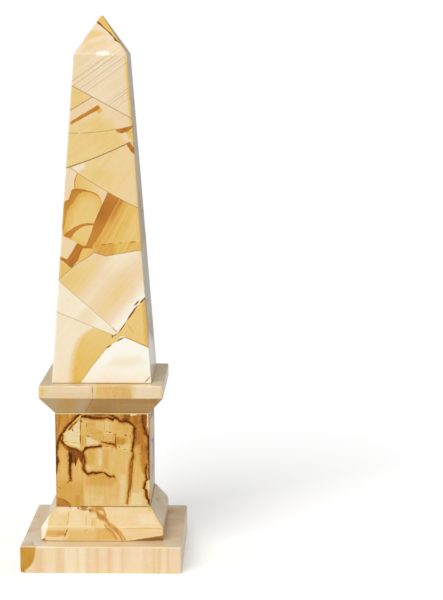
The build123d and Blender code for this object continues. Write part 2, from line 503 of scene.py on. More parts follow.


# What the pieces' dictionaries hold, in millimetres and degrees:
#   step, sideSteps   spacing of the skin's rows, and how many points a side has
#   fresh     tone of stone that a knock laid bare, on the shaft's and cap's bruises partly a painted highlight; tones run from 0, palest, to 1
#   grain, cloud      how far fine grain and broad clouding move the tone; drift is that of the hue
#   polish, gloss     roughness of the polished face, and how strongly it mirrors
#   dip, sway         how the figure falls with depth, and how far it wanders there
#   streaks           (angle, pitch, length, seed)
#   grounds           (tone, {streak: how strongly it shows})
#   seams             (height at the middle, slope, bend)
#   patches           (tone, soft edge, strength, corners), one laid over another
#   lines, edges      points (wide, high, half width) or (wide, high), from the middle of the foot
#   threads, cracks   (start, end, half width)

# The shaft's stone broke into blocks and healed, and seams part the blocks.
shaftLook = {
    "slot": "shaft_stone", "step": 1.15, "cornerRadius": 0.7, "sideSteps": 60, "footArris": 0.3,
    "shoulder": 20.8, "shoulderArris": 0.4, "pyramidHeight": 29.6, "tip": 0.8, "tipArris": 0.3,
    "chipAt": 2.2,
    # the shoulder's bruise: a shallow dent whose white knocked tone is partly a painted highlight
    "shoulderChip": {"facing": (0, -0.89, 0.46), "depth": 0.36, "reach": 6, "rough": 0.02, "grain": 4},
    "fresh": 0, "grain": 0.05, "cloud": 0.1, "drift": 0.4, "polish": 0.12, "gloss": 0.5,
    "crackDepth": 0.25, "seed": 3, "dip": -0.22, "sway": 5,
    "streaks": {"shallow": (35, 1.8, 60, 1), "steep": (50, 3.2, 60, 2), "upright": (62, 2, 50, 3)},
    "grounds": {
        "crown": (0.27, {"shallow": 0.24}),
        "second": (0.33, {"shallow": 0.16}),
        "third": (0.46, {"shallow": 0.14}),
        "fourth": (0.42, {"steep": 0.22}),
        "honey": (0.52, {"upright": 0.1}),
        "outside": (0.27, {"steep": 0.12}),
        "gold": (0.56, {"steep": 0.1}),
        "rust": (0.85, {"upright": 0.09}),
        "streaked": (0.71, {"upright": 0.34}),
        "bar": (0.845, {"upright": 0.09}),
        "belowBar": (0.6, {"upright": 0.28}),
        "step": (0.87, {"steep": 0.12}),
        "pale": (0.13, {"steep": 0.12}),
        "foot": (0.17, {"steep": 0.1}),
        "lens": (0.59, {"steep": 0.12}),
        "ochre": (0.5, {"upright": 0.2}),
        "white": (-0.04, {"steep": 0.1}),
    },
    # tones of cracks, of the painted shade on the point's right face, and of dashes
    "crackTone": 0.93, "arrisTone": 0.9, "dashTone": 0.9,
    "seams": {
        "top": (220.1, -0.545),
        "third": (196.7, 0.119, 0.0028),
        "grey": (178.1, 0.41, 0.002),
        "arch": (153, -0.6, 0.0023),
        "low": (51.4, -0.87),
        "thin": (41.6, -0.41),
    },
    # the head: stripes as (height, strength), the crest's crack and the blocks' patches
    "pinstripeAngle": 35.5,
    "pinstripes": [
        (251.5, 1.2), (250.6, 0.5), (247.2, 1.6), (244.3, 0.5), (241, 1.1), (238.6, 0.4), (235.4, 1),
        (214.8, 0.9), (212.2, 1), (209.8, 0.8), (206.6, 0.8),
    ],
    "point": [
        (0.47, 2.2, 0.9, [(-14, 266.3), (3, 271.4), (3, 273), (-9, 275.4)]),
        (0.42, 5, 0.7, [(-12, 260), (4, 264), (4, 267), (-12, 264)]),
        (0.57, 0.5, 1, [(-4, 282), (15.6, 264), (30, 263), (0, 292)]),
        (0.5, 1.2, 1, [(7.5, 273), (15, 264), (20, 262), (11, 275)]),
    ],
    "crest": [
        (-4.2, 281.9, 0.3), (-3, 280.9, 0.75), (-0.8, 279.3, 0.65), (2.4, 276.3, 0.4), (5.4, 273.8, 0.45),
        (7.4, 272.1, 0.65), (9.2, 270.2, 0.35), (11.2, 267.6, 0.85), (12.6, 266.6, 0.5), (14.7, 265, 0.1),
        (23, 257, 0.02),
    ],
    "healed": ((-20.6, 214.8), (-6.5, 223.3)),
    "upper": [
        (0.43, 7, 0.9, [(-40, 186), (2, 200), (2, 211), (-40, 198)]),
        (0.52, 7, 0.7, [(-12, 194), (14, 196), (8, 205), (-4, 207)]),
        (0.68, 0.9, 0.9, [(-3.4, 212.2), (-0.7, 210.6), (1.7, 212.8), (-1.4, 217.4)]),
        (0.84, 0.5, 1, [(-23.6, 201.6), (-0.4, 214.3), (-1.9, 217.3), (-23.6, 204.3)]),
    ],
    "middle": [
        (0.3, 2, 0.9, [(14, 196), (19, 190), (24, 188), (23, 196), (19, 199)]),
        (0.62, 0.6, 0.8, [(19.9, 196.3), (21.6, 191.2), (27, 190), (27, 199)]),
        (
            0.86, 0.5, 1,
            [(11.3, 199.4), (12.5, 196.6), (18.3, 194.3), (21.1, 196.5), (27, 198), (27, 204), (20, 202)],
        ),
    ],
    "under": [
        (0.16, 2.6, 0.9, [(-23.5, 168.9), (-18, 164.6), (-12, 169), (-13, 173.4)]),
        (0.5, 4, 0.6, [(-10, 160), (8, 152), (12, 164), (-4, 170)]),
        (0.88, 0.5, 1, [(20.1, 186.8), (23.8, 181), (26.4, 178.8), (27, 183.5), (22.8, 188.4)]),
        (0.62, 0.6, 0.7, [(22.8, 188.4), (25.4, 184.6), (28, 184), (28, 189)]),
    ],
    # the arch block: bands between two edges, as (lower, upper) or (left, right)
    "curvedSeam": [
        (-16.9, 167, 0.3), (-18.1, 164.5, 0.4), (-19.8, 160.6, 0.45), (-20.5, 156.7, 0.45),
        (-20.3, 152, 0.4),
    ],
    "arcHeart": (-10, 126),
    "outerArc": [
        [
            (-29.4, 116), (-30.2, 124), (-29.8, 134.1), (-28.6, 142), (-25.1, 144), (-24, 147.7),
            (-22.3, 152), (-19.3, 152.4), (-15.8, 152.2), (-10.8, 151.2), (-5.9, 149.7), (-1.9, 147.3),
            (-0.3, 144.4), (1, 139),
        ],
        [
            (-29.4, 117), (-27.7, 125.4), (-26.9, 131.3), (-25.1, 136.8), (-21.3, 141.3), (-17.9, 147.2),
            (-14.3, 149.8), (-9.9, 149.8), (-5.9, 148.4), (-2.3, 146.2), (-0.6, 143.8), (0.8, 139),
        ],
    ],
    "innerArc": [
        [
            (-29.4, 115.6), (-24, 113.6), (-22.5, 115.4), (-20.4, 118.4), (-15.9, 121.9), (-12.4, 123.5),
            (-6, 123.9), (0, 123),
        ],
        [
            (-29.4, 115.9), (-26.5, 118.4), (-21, 122.4), (-14.9, 124.9), (-10.4, 125.6), (-5.4, 125.3),
            (0, 124),
        ],
    ],
    "paleCorner": ((-29.4, 115.3), (-18.4, 110.2)),
    "bar": [
        [(-12.7, 106), (-12, 107.5), (-8, 116.9), (-6, 123.4), (-3.9, 129.4), (2.1, 142.3), (6.4, 152)],
        [
            (-7.4, 106), (-4, 111.5), (0, 117.5), (4, 124.9), (8.5, 133.4), (11.1, 138.3), (14.6, 143.5),
            (17, 147),
        ],
    ],
    "barFoot": [(-18.5, 106), (-6.5, 106), (-0.7, 109), (28, 111.2)],
    "paleWedge": ((-33, 97.2), (-26.6, 92.5)),
    "brokenStep": [
        [
            (-33, 97), (-31.8, 96.5), (-29.6, 95.5), (-26.6, 92.7), (-23.3, 90.3), (-22.1, 91.5),
            (-18.1, 96), (-16, 102.5), (-14.1, 106), (-6.5, 105.6),
        ],
        [
            (-33, 99.6), (-31.8, 99.4), (-27.1, 97.3), (-25.3, 99), (-22.6, 103.5), (-18.5, 110.2),
            (-14.1, 107.7), (-6.5, 106.4), (-6, 104),
        ],
    ],
    "dashes": [
        ((-30.9, 116.4), (-29.8, 140), 0.6), ((-32.9, 93), (-32.1, 100.2), 0.6),
        ((-0.7, 109.2), (4.8, 108.8), 0.25), ((5.9, 109.7), (8.9, 109.4), 0.35),
        ((14, 109.9), (16.7, 110.2), 0.25), ((21.2, 110.6), (27.8, 111.1), 0.35),
    ],
    # the foot; its broad block's tones follow a streak's rank
    "waist": [
        (-33.4, 81.4), (-29.6, 85), (-23.6, 90), (-18.8, 93.9), (-11.6, 98), (-5.1, 102.6), (3.5, 99.8),
        (18.9, 102.5), (30, 104.5),
    ],
    "broadTones": [
        (10, 0.1), (21, 0.1), (25, 0.24), (33, 0.38), (40, 0.38), (46, 0.3), (54, 0.27), (60, 0.4),
        (68, 0.47), (75, 0.47),
    ],
    "palePatches": [(0.33, 5, 0.6, [(-20, 50), (-8, 44), (-4, 54), (-10, 60)])],
    "lensEdge": [(-25.2, -5), (-24.8, 14), (-22.3, 26), (-16.8, 37), (-6.5, 44), (10, 50)],
    "ochreStreak": [((19.9, 47.4), (26.2, 38.8), 0.7)],
    "whitePatches": [
        (0.3, 1.5, 0.7, [(4, 28), (8, 34), (6, 36), (2, 30)]),
        (0.22, 6, 0.6, [(4, 14), (20, 12), (34, 16), (30, 22), (10, 20)]),
    ],
    "crack": [
        ((34.9, 67.9), (30.2, 62.4), 0.7), ((30.2, 65.2), (25.6, 60.4), 0.65),
        ((29.2, 62.3), (19.2, 48), 0.7), ((24.6, 55.4), (20.2, 49.3), 0.6),
        ((20.2, 49), (12.5, 38.3), 0.45), ((12.9, 39.2), (9.3, 36.6), 0.4),
        ((8.7, 38.3), (8.7, 35.3), 0.5), ((8.2, 43.3), (12.4, 40), 0.2),
        ((11.8, 32.5), (18.4, 36.5), 0.5), ((12, 35.8), (16.4, 37.8), 0.2),
        ((3.2, 26.7), (8.4, 30.5), 0.5), ((34, 0.1), (38.6, 5.5), 0.4),
    ],
    "crackRight": [
        (3.6, 26.7), (8.2, 30.3), (8.9, 36.4), (12.7, 38.3), (19.7, 48.3), (29.2, 61.9), (34.8, 67.6),
        (40, 73),
    ],
    "boundary": [
        (-17.2, -0.5), (-9, 11), (0.1, 22.5), (3.6, 27), (8.4, 30.6), (13.2, 33.5), (18.2, 36.4),
    ],
    "cropTop": 37.5,
    "cropSeam": [
        (18.2, 36.4, 0.3), (22, 34.9, 0.45), (26.2, 33.1, 0.35), (31, 30.9, 0.4), (36.6, 28.4, 0.45),
        (40, 27, 0.3),
    ],
    # how rusty the right arris is, as (height, strength)
    "rustyArris": [
        (60, 0), (100, 0.1), (106, 0.9), (140, 0.8), (146, 0.2), (195, 0.3), (203, 0.9), (250, 1),
        (259, 0),
    ],
}


def shaftShape(look):
    foot, top, shoulder = halfOf("shaft"), tallOf("shaft"), look["shoulder"]
    level = top - look["pyramidHeight"]
    outline = [
        (0, 0),
        (foot, 0, look["footArris"]),
        (shoulder, level, look["shoulderArris"]),
        (look["tip"], top, look["tipArris"]),
        (0, top),
    ]
    return outline, [{"corner": (look["chipAt"], -shoulder, level), **look["shoulderChip"]}]


# Half width of the shaft: the lesser of its slow taper and the steep faces of its point.
def shaftHalf(stone, height, look):
    foot, shoulder = halfOf("shaft"), look["shoulder"]
    level = tallOf("shaft") - look["pyramidHeight"]
    slow = (foot - shoulder) / level
    steep = (shoulder - look["tip"]) / look["pyramidHeight"]
    return stone.least(foot - height * slow, shoulder - (height - level) * steep)


# Above the arch seam: the point, and four blocks with a brown band and two rusty chips.
def shaftHead(stone, look, seam, ground):
    wide, side, paint = stone.wide, stone.side, stone.paint
    shallow, steep = stone.streaks["shallow"], stone.streaks["steep"]
    level = tallOf("shaft") - look["pyramidHeight"]
    angle = look["pinstripeAngle"]
    rank, climb = stone.slant(angle), math.cos(math.radians(angle))
    pinstripes = [
        strength * stone.stroke(rank - place * climb, 0.3, 0.4)
        for place, strength in look["pinstripes"]
    ]
    fade = stone.noise(stone.position, 1 / 9, 1) + 0.25
    shown = fade * side(level - 2 - stone.height, 6) * side(seam["top"])
    stone.ash.append(0.42 * stone.most(*pinstripes) * shown)
    tone = ground["crown"] + 0.0022 * (abs(wide) - 12)
    tone = stone.inlay(tone, look["point"], 0.2 * shallow)
    tone = paint(tone, look["crackTone"], side(stone.across(look["crest"])))
    # painted shade: the point's right face above the shoulder is darkened
    shaded = side(stone.x - stone.half + 0.4) * side(stone.height - level - 2, 6)
    tone = paint(tone, look["arrisTone"], 0.7 * shaded)

    # the second block, which a healed crack crosses
    healed = stone.fence(*look["healed"])
    upper = paint(ground["second"], 0.48, side(healed))
    upper = stone.inlay(upper, look["upper"], 0.2 * shallow)
    stone.ashen(healed, 0.35, 0.8 * side(-seam["top"], 1) * side(-5 - wide))
    tone = paint(tone, upper, side(-seam["top"]))
    stone.ashen(seam["top"], 0.35, 0.7)

    # the third and the fourth, parted by a broken line and a grey one
    middle = stone.inlay(ground["third"], look["middle"], 0.15 * steep)
    tone = paint(tone, middle, side(-seam["third"]))
    gaps = side(stone.noise(stone.vector(wide / 3, 0, 0), 1, 1) - 0.4, 0.1)
    stone.ashen(seam["third"], 0.22, 0.85 * side(12 - wide) * gaps)
    under = stone.inlay(ground["fourth"] - 0.0012 * wide, look["under"], 0.15 * steep)
    stone.ashen(seam["grey"], 0.42, side(23 - wide))
    return paint(tone, under, side(-seam["grey"]))


# Between the arch seam and the waist: two rusty arcs, a broad bar and a broken step.
def shaftArch(stone, look, seam, ground):
    wide, high, side, paint = stone.wide, stone.high, stone.side, stone.paint
    outer, inner = [stone.turning(look["arcHeart"], edge) for edge in look["outerArc"]]
    outside = ground["outside"] + 0.01 * stone.most(-22 - wide, 0)
    gold = ground["gold"] - 0.01 * stone.most(wide + 17, 0)
    tone = paint(outside, gold, side(stone.rightOf(look["curvedSeam"]), 0.5))
    honey = ground["honey"] - 0.0055 * stone.most(wide + 12, 0) + 0.14 * side(4 - abs(inner), 7)
    tone = paint(tone, honey, side(inner, 0.8))
    tone = paint(tone, 0.8, side(stone.climbing(look["curvedSeam"])))
    rust = ground["rust"]
    tone = paint(tone, rust - 0.05 * side(outer - 1.6, 1.5), side(stone.least(outer, -inner), 0.6))
    tone = paint(tone, rust, side(stone.course(*look["innerArc"]), 0.5))
    tone = paint(tone, 0.33, side(stone.least(-stone.fence(*look["paleCorner"]), -18 - wide)))

    # the bar, and streaked stone on its right
    left, right = [stone.rightOf(edge) for edge in look["bar"]]
    near = side(3.5 - stone.most(right, 0), 2) * side(high - 128, 8)
    streaked = ground["streaked"] - 0.008 * stone.most(right, 0) + 0.1 * near
    streaked = paint(streaked, 0.6, 0.5 * side(wide - stone.half + 2.2, 1.2))
    tone = paint(tone, streaked, side(right, 0.8))
    bar = ground["bar"] + 0.025 * side(1.2 - abs(left), 1)
    tone = paint(tone, bar, side(stone.least(-right, left), 0.6))

    # below the bar's foot: a dashed seam, a pale wedge on the left and the broken step
    below = ground["belowBar"] + 0.12 * side(8 - abs(wide - 3), 4)
    tone = paint(tone, below, side(-stone.above(look["barFoot"])) * side(wide + 18))
    tone = paint(tone, 0.58, side(-stone.fence(*look["paleWedge"])) * side(-21 - wide))
    tone = paint(tone, ground["step"], side(stone.course(*look["brokenStep"]), 0.7))
    stone.ashen(seam["arch"], 0.28, 0.6 * side(-seam["grey"]))
    return paint(tone, look["dashTone"], stone.scratches(look["dashes"]))


# From the waist to the foot: a broad cream block, pale blocks with a honey lens, and an ochre
# wedge over near-white stone beyond the open crack.
def shaftFoot(stone, look, seam, ground, crack):
    wide, high, side, paint = stone.wide, stone.high, stone.side, stone.paint
    broad = stone.curve(stone.slant(50), look["broadTones"], "AUTO") + 0.2 * stone.streaks["steep"]
    broad = broad - 0.006 * stone.most(high - 84, 0) - 0.003 * stone.most(wide - 14, 0)
    pale = stone.inlay(ground["pale"], look["palePatches"], 0)
    tone = paint(broad, pale, side(-seam["low"]))
    lens = stone.ramp(stone.rightOf(look["lensEdge"], "AUTO"), 0.18, 0.25)
    foot = paint(ground["foot"], ground["lens"] - 0.0022 * high - 0.002 * wide, lens)
    tone = paint(tone, foot, side(-seam["thin"]))

    # beyond the open crack
    ochre = ground["ochre"] + 0.14 * side(wide + 2.8 - stone.half, 1.2)
    ochre = paint(ochre, 0.68, 0.7 * stone.scratches(look["ochreStreak"]))
    white = stone.inlay(ground["white"] + 0.005 * stone.most(24 - high, 0), look["whitePatches"], 0)
    below = stone.least(-stone.above(look["cropSeam"]), look["cropTop"] - high)
    beyond, boundary = stone.rightOf(look["crackRight"]), stone.rightOf(look["boundary"])
    reach = side(76 - high) * side(stone.most(high - 37, boundary))
    tone = paint(tone, paint(ochre, white, side(below, 0.5)), side(beyond, 0.5) * reach)
    tone = paint(tone, white, side(boundary, 0.9) * side(below))
    stone.ashen(boundary, 0.3, 0.6 * side(27 - high))
    stone.ashen(seam["low"], 0.25, 0.5 * side(-beyond, 0.5) * side(81 - high))
    stone.ashen(seam["thin"], 0.22, 0.6 * side(-beyond, 0.5))
    tone = paint(tone, 0.84, side(stone.across(look["cropSeam"])) * side(wide - 18))
    return paint(tone, look["crackTone"], crack)


def shaftStone(look):
    stone = Stone("shaft_stone")
    stone.lay("shaft", shaftHalf, look)
    ground = stone.grounds(look)
    seam = {name: stone.seam(*line) for name, line in look["seams"].items()}
    tone = shaftHead(stone, look, seam, ground)
    archBlock = stone.side(-seam["grey"]) * stone.side(-seam["arch"])
    tone = stone.paint(tone, shaftArch(stone, look, seam, ground), archBlock)
    waist = stone.above(look["waist"]) * 0.85
    crack = stone.scratches(look["crack"])
    tone = stone.paint(tone, shaftFoot(stone, look, seam, ground, crack), stone.side(-waist))
    stone.ashen(waist, 0.3, 0.7)
    rusty = stone.side(stone.wide - stone.half + 2, 1.4) * stone.curve(stone.high, look["rustyArris"])
    tone = stone.most(tone, stone.paint(tone, 0.56, rusty))
    # painted highlight: each face is paled along its left arris
    tone = tone - 0.1 * stone.side(-stone.wide - stone.half + 1.2, 0.9)
    return stone.finish(look, tone, crack)


# The die's stone is deeper in colour. An arch of iron veins walls off a pale cell, and a waist
# vein parts the cell in two.
dieLook = {
    "slot": "die_stone", "step": 1, "cornerRadius": 0.5, "sideSteps": 72, "endArris": 0.25,
    "paleRim": 0.7, "fresh": 0.3, "grain": 0.06, "cloud": 0.1, "drift": 0.9, "polish": 0.18,
    "gloss": 0.15, "crackDepth": 0.15, "seed": 11, "dip": 0.12, "sway": 4,
    "tones": [
        (0, (246, 232, 194)), (0.2, (229, 208, 154)), (0.4, (227, 189, 118)), (0.5, (222, 179, 100)),
        (0.6, (214, 165, 82)), (0.7, (204, 146, 62)), (0.8, (180, 116, 40)), (0.9, (134, 72, 16)),
        (1, (76, 30, 0)),
    ],
    "streaks": {
        "upright": (88, 1.8, 22, 5),
        "level": (4, 1.6, 14, 6),
        "mottle": (80, 3.4, 8, 7),
        "fine": (-3, 0.8, 9, 19),
    },
    "grounds": {
        "footLeft": (0.58, {"upright": 0.14}),
        "lower": (0.44, {"upright": 0.22, "mottle": 0.12}),
        "upper": (0.46, {"upright": 0.14, "level": 0.24}),
        "upperGrain": (0, {"upright": 0.16, "level": 0.16, "fine": 0.22}),
        "outsideGrain": (0, {"upright": 0.2, "mottle": 0.2}),
        "mass": (0.9, {"upright": 0.4, "mottle": 0.2}),
        "bruise": (0.86, {"mottle": 0.2}),
    },
    "rustTone": 0.87, "hairTone": 0.82, "splitTone": 0.9,
    # veins climb and beams run across
    "veins": {
        "arch": [
            (-37.2, 26, 0.1), (-37, 30, 0.5), (-36.4, 36, 0.9), (-37, 42, 0.5), (-36.4, 45.5, 0.5),
            (-35.9, 48.7, 0.6), (-35.3, 52.1, 0.6), (-33.9, 55, 0.9), (-33, 57.5, 0.7),
            (-31.6, 59.3, 0.5), (-30.2, 61.3, 0.6), (-29, 63.5, 0.7), (-27, 65.5, 0.7),
            (-24.8, 68.1, 0.5), (-22.5, 70.1, 0.55), (-20, 72.9, 0.7), (-16.6, 75.5, 0.5),
        ],
        "innerArch": [
            (-26.4, 62.2, 0.1), (-25.7, 63, 0.3), (-24.5, 64.7, 0.2), (-23.1, 66.4, 0),
            (-21.4, 67.8, 0.1), (-18.9, 70.1, 0.1), (-16.9, 71.8, 0), (-15.4, 73, 0),
        ],
        "shoulder": [
            (-30, 49.9, 0.6), (-31.1, 51.3, 0.7), (-32.2, 53.6, 0.5), (-31.4, 55, 0.6),
            (-31.6, 57.6, 0.6), (-32.5, 59.5, 0.3),
        ],
        "trunk": [
            (-25.4, 43.5, 1.5), (-25.6, 38, 1.3), (-25.8, 35.6, 1), (-25.9, 28.4, 0.75),
            (-25.7, 23.5, 0.5), (-25.5, 20.5, 0.3),
        ],
        "stem": [
            (-15.4, 43.5, 0.5), (-14.5, 40.3, 0.5), (-14.3, 37.8, 0.55), (-14.2, 35.6, 0.6),
            (-14.9, 33.4, 0.6), (-15.2, 31.2, 0.75), (-14.6, 29.1, 0.75), (-13.2, 27.2, 0.6),
        ],
        "right": [
            (19.6, 2.3, 0.2), (19.9, 5.4, 0.3), (20.3, 10.1, 0.35), (21.2, 16.4, 0.4), (21.9, 22.6, 0.5),
            (22.2, 27.3, 0.55), (22.3, 32, 0.6), (22.7, 35.7, 0.6), (23.4, 38.5, 0.65), (24.4, 41.5, 0.6),
            (24.7, 43.6, 0.4), (23.5, 45.2, 0.5), (24.4, 49.8, 0.6), (25, 54.1, 0.5), (25.6, 56.1, 0.7),
            (25, 58.3, 0.35), (25.3, 60.3, 0.6), (25.5, 64.3, 0.65),
        ],
        "edge": [
            (32.2, 75.7, 0.7), (32.3, 70, 0.5), (33.1, 64.9, 0.5), (34.2, 62.1, 0.65), (34.8, 58.9, 0.8),
            (36.2, 57.3, 0.6), (36.7, 54.1, 0.45), (36.9, 51.3, 0.45), (36.4, 47, 0.5), (36.8, 43.3, 0.5),
            (36.8, 38.3, 0.5), (37.1, 34.4, 0.4), (37.2, 22, 0.3),
        ],
        "edgeFoot": [
            (37, 1.7, 0.5), (36.7, 4.9, 0.6), (35.2, 7.1, 0.6), (34.6, 10.2, 0.55), (34.9, 12.4, 0.5),
            (34.3, 13.6, 0.45), (32.8, 14.6, 0.5), (33.1, 16.4, 0.55), (34, 20.5, 0.4), (35.4, 21.8, 0.4),
            (34.1, 27.4, 0.2), (34.7, 32.1, 0.3), (35.4, 35, 0.2),
        ],
    },
    "beams": {
        "crown": [
            (-16.6, 72.6, 0.7), (-14.2, 73, 0.7), (-11.6, 73.3, 0.8), (-10.3, 72.5, 0.75),
            (-5, 71.7, 0.7), (1.5, 71.6, 0.5), (3.7, 72.3, 0.35), (8.7, 70.3, 0.5), (9.9, 72.3, 0.6),
            (12.3, 71.1, 0.7), (14, 69.4, 0.6), (16.2, 68.7, 0.6), (18.6, 69.7, 0.9), (20.4, 69.1, 0.7),
            (22.6, 67.7, 0.5), (24.5, 66, 0.45), (25.7, 64.3, 0.4),
        ],
        "upperCrown": [
            (-5.5, 74.7, 0.2), (1.6, 74.7, 0.35), (3.5, 75.4, 0.6), (5.2, 75.4, 0.4), (6.8, 73.9, 0.4),
            (9, 73.6, 0.3), (9.9, 72.5, 0.3),
        ],
        "waist": [
            (-30.2, 50.2, 0.5), (-27.3, 48.5, 0.5), (-25, 46.8, 0.7), (-21.7, 46.5, 0.6),
            (-18.9, 45.1, 0.6), (-16.7, 43.6, 0.7), (-15, 44.2, 0.6), (-14.1, 46.8, 0.6),
            (-11.7, 47.7, 0.6), (-8.3, 48.1, 0.5), (-5, 48.5, 0.45), (-2.7, 49, 0.6), (-0.4, 49.1, 0.5),
        ],
        "floor": [
            (-14.6, 29.1, 0.5), (-12.8, 26.9, 0.75), (-11.3, 26.2, 0.65), (-9.5, 26.9, 0.65),
            (-7.9, 27.5, 0.6), (-6.1, 27.2, 0.6), (-4.6, 26.9, 0.5), (-2.8, 27.5, 0.4),
            (-0.6, 27.8, 0.45), (0.6, 27.5, 0.35), (2.1, 26.9, 0.35), (4.2, 25.1, 0.4), (6.4, 24.3, 0.4),
            (8.5, 24.8, 0.3), (9.9, 24, 0.2),
        ],
        "diagonal": [
            (-0.8, 52.5, 0), (3.5, 51.4, 0.15), (7.7, 50.9, 0.25), (9.9, 50, 0.4), (10.9, 48.6, 0.3),
        ],
    },
    "bruise": [
        (-34.4, 54.6, 0.3), (-32.6, 52.2, 1), (-30, 48.8, 1.3), (-27.4, 46.8, 1.5), (-24.6, 45.2, 1.6),
    ],
    "massTop": [(-27, 46.4), (-25, 46.8), (-21.7, 46.5), (-18.9, 45.1), (-16.7, 43.4), (-15, 42.5)],
    "massFoot": [
        (-28, 60), (-27.2, 45), (-26.2, 40), (-25.4, 35), (-24.6, 36.5), (-23.6, 35.4), (-22.4, 36.6),
        (-21.6, 33.4), (-21, 35.6), (-20.2, 37.4), (-19.2, 40.4), (-18.2, 38), (-17.2, 36.4),
        (-16.3, 34.4), (-15.6, 37), (-14.9, 42), (-14.2, 60),
    ],
    # the cell's other walls, and the waist's course past its beam
    "roofLeft": [(-30, 60), (-24.8, 68.1), (-20, 72.9), (-16.6, 74)],
    "cellLeft": [
        (-15.4, 20), (-15.4, 43.5), (-18.9, 45), (-25, 46.8), (-30, 49.9), (-31.1, 51.3), (-33.5, 55),
        (-30.2, 61.3), (-16.6, 75.5),
    ],
    "waistRight": [(6, 48.9), (8.6, 47.5), (11, 48.3), (15, 45.5), (24, 44)],
    # fine lines: rusty threads, faint hairs, open splits and dark specks
    "threads": [
        ((-11.2, 63), (-7.6, 62.5), 0.15), ((-7.6, 62.5), (0.9, 61.1), 0.15),
        ((0.9, 61.1), (7.6, 60.3), 0.22), ((2.6, 58.5), (7.6, 58.6), 0.12),
        ((-12.9, 57.5), (-9.6, 56.8), 0.4), ((-9.6, 56.8), (-4.3, 53.7), 0.2),
        ((-4.3, 53.7), (0, 52.3), 0.15), ((-30.6, 53.1), (-26.7, 52.2), 0.25),
        ((-26.7, 52.2), (-18.4, 51.3), 0.25), ((-22.8, 60.5), (-18.4, 59.9), 0.15),
        ((-17.6, 46), (-17.4, 51.5), 0.2), ((-12.9, 63), (-11.9, 68.6), 0.4),
        ((-13.7, 50), (-12.9, 57.6), 0.3), ((0.9, 53.4), (1, 58.8), 0.2), ((1.8, 60.6), (1.8, 69), 0.15),
        ((6.1, 60), (6.2, 69), 0.2), ((10.4, 48.8), (10.4, 61), 0.35), ((0.7, 48.8), (6.4, 48.9), 0.25),
        ((6.8, 48.8), (8.6, 47.5), 0.25), ((8.6, 47.5), (10.8, 48.6), 0.25),
        ((26.4, 42), (26.4, 34), 0.2), ((26.3, 35), (24, 22), 0.2), ((24, 23), (22.8, 9), 0.2),
        ((-28.9, 18.5), (-25.4, 21.6), 0.35), ((-24.3, 20.2), (-25.8, 22.4), 0.35),
        ((-33.6, 6.7), (-29.9, 3.8), 0.3), ((-30.2, 4), (-25, 1.2), 0.35),
        ((-36.4, 16), (-32.8, 14.2), 0.35), ((28, 42.8), (32, 42.8), 0.3), ((-5, 25.3), (6, 22.9), 0.12),
        ((-8, 24.3), (4, 21.9), 0.1),
    ],
    "hairs": [
        ((1.2, 2), (1.6, 24), 0.12), ((6.2, 2), (6.6, 20), 0.12), ((11.6, 3), (12.2, 30), 0.15),
        ((-10.4, 4), (-10, 22), 0.1), ((-5, 3), (-4.8, 14), 0.1), ((-16, 30), (-16.6, 8), 0.12),
        ((13.2, 26), (20.6, 25.4), 0.1), ((2, 9.6), (17, 8.2), 0.12), ((-15, 6.2), (3, 4.6), 0.12),
        ((27.6, 30), (28.6, 3), 0.12), ((31, 30), (31.6, 14), 0.1),
    ],
    "splits": [
        ((-17.5, 50), (-17.4, 60), 0.5), ((-17.4, 58), (-17.3, 70.5), 0.35),
        ((-12.9, 57.5), (-9.6, 56.8), 0.4), ((10.4, 49), (10.4, 57), 0.5),
        ((-28.9, 18.5), (-25.4, 21.6), 0.35), ((-30.6, 53.1), (-27, 52.3), 0.2),
        ((31.6, 75.7), (33.2, 73), 0.8), ((-33.4, 6.8), (-25.6, 1.4), 0.35),
        ((23.8, 40), (23.2, 24), 0.5), ((23.2, 26), (21.6, 8), 0.4),
    ],
    "specks": [
        ((-23.8, 63), (-23.2, 61), 0.5), ((-16.9, 70.4), (-16.5, 67.9), 0.6),
        ((5.4, 60.4), (7.2, 60.1), 0.4), ((10, 58.8), (10.8, 58.2), 0.4),
        ((17.6, 58.2), (19.2, 57.8), 0.5), ((22, 57.6), (22.4, 56.8), 0.4),
        ((13.2, 48.8), (14, 47.8), 0.4), ((17.4, 46.6), (18.1, 46.2), 0.4),
        ((-28.4, 41.5), (-27.9, 40.6), 0.3),
    ],
    # tones outside the cell by height, and the patches outside it, above and below the waist
    "leftTones": [(-2, 0.56), (14, 0.6), (24, 0.48), (40, 0.5), (50, 0.62), (76, 0.72)],
    "rightTones": [(0, 0.3), (16, 0.4), (32, 0.48), (50, 0.6), (76, 0.76)],
    "footPatches": [(0.66, 0.6, 0.9, [(-22, 0.5), (-18.4, 0.5), (-18.4, 9), (-22, 9)])],
    "outside": [
        (0.9, 0.6, 1, [(-38.4, 43), (-38.4, 31), (-35.6, 33.4), (-34, 37.2), (-35.2, 40.8)]),
        (0.78, 0.8, 0.9, [(-38, -0.5), (-25, -0.5), (-25.6, 1), (-33.4, 6), (-38, 8.6)]),
        (0.8, 1.5, 1, [(24.6, 66.6), (31.8, 66.6), (31.5, 78), (24.6, 74)]),
        (0.86, 1.2, 0.9, [(17.2, 71.5), (20, 69.5), (22.8, 72), (22, 76.4), (17.6, 76.4)]),
        (0.1, 0.9, 0.9, [(22.6, 73.6), (27.2, 74.3), (27.6, 77.4), (21.6, 77.4)]),
        (0.77, 1.8, 1, [(25.4, 50), (33.6, 44), (34, 67), (25.6, 66.8)]),
        (0.94, 1, 0.9, [(16, 68.6), (20.6, 68.8), (21, 71.4), (15.6, 71.4)]),
        (0.52, 1.2, 0.9, [(23.4, 38), (27, 38), (27.4, 48), (25.4, 54.5), (24, 51)]),
        (0.58, 1.2, 0.9, [(27.4, 33), (30.8, 33), (30.6, 50), (27.6, 50)]),
        (0.78, 2, 0.9, [(30, 40), (31, 28), (35.4, 26), (36.6, 50), (30, 54)]),
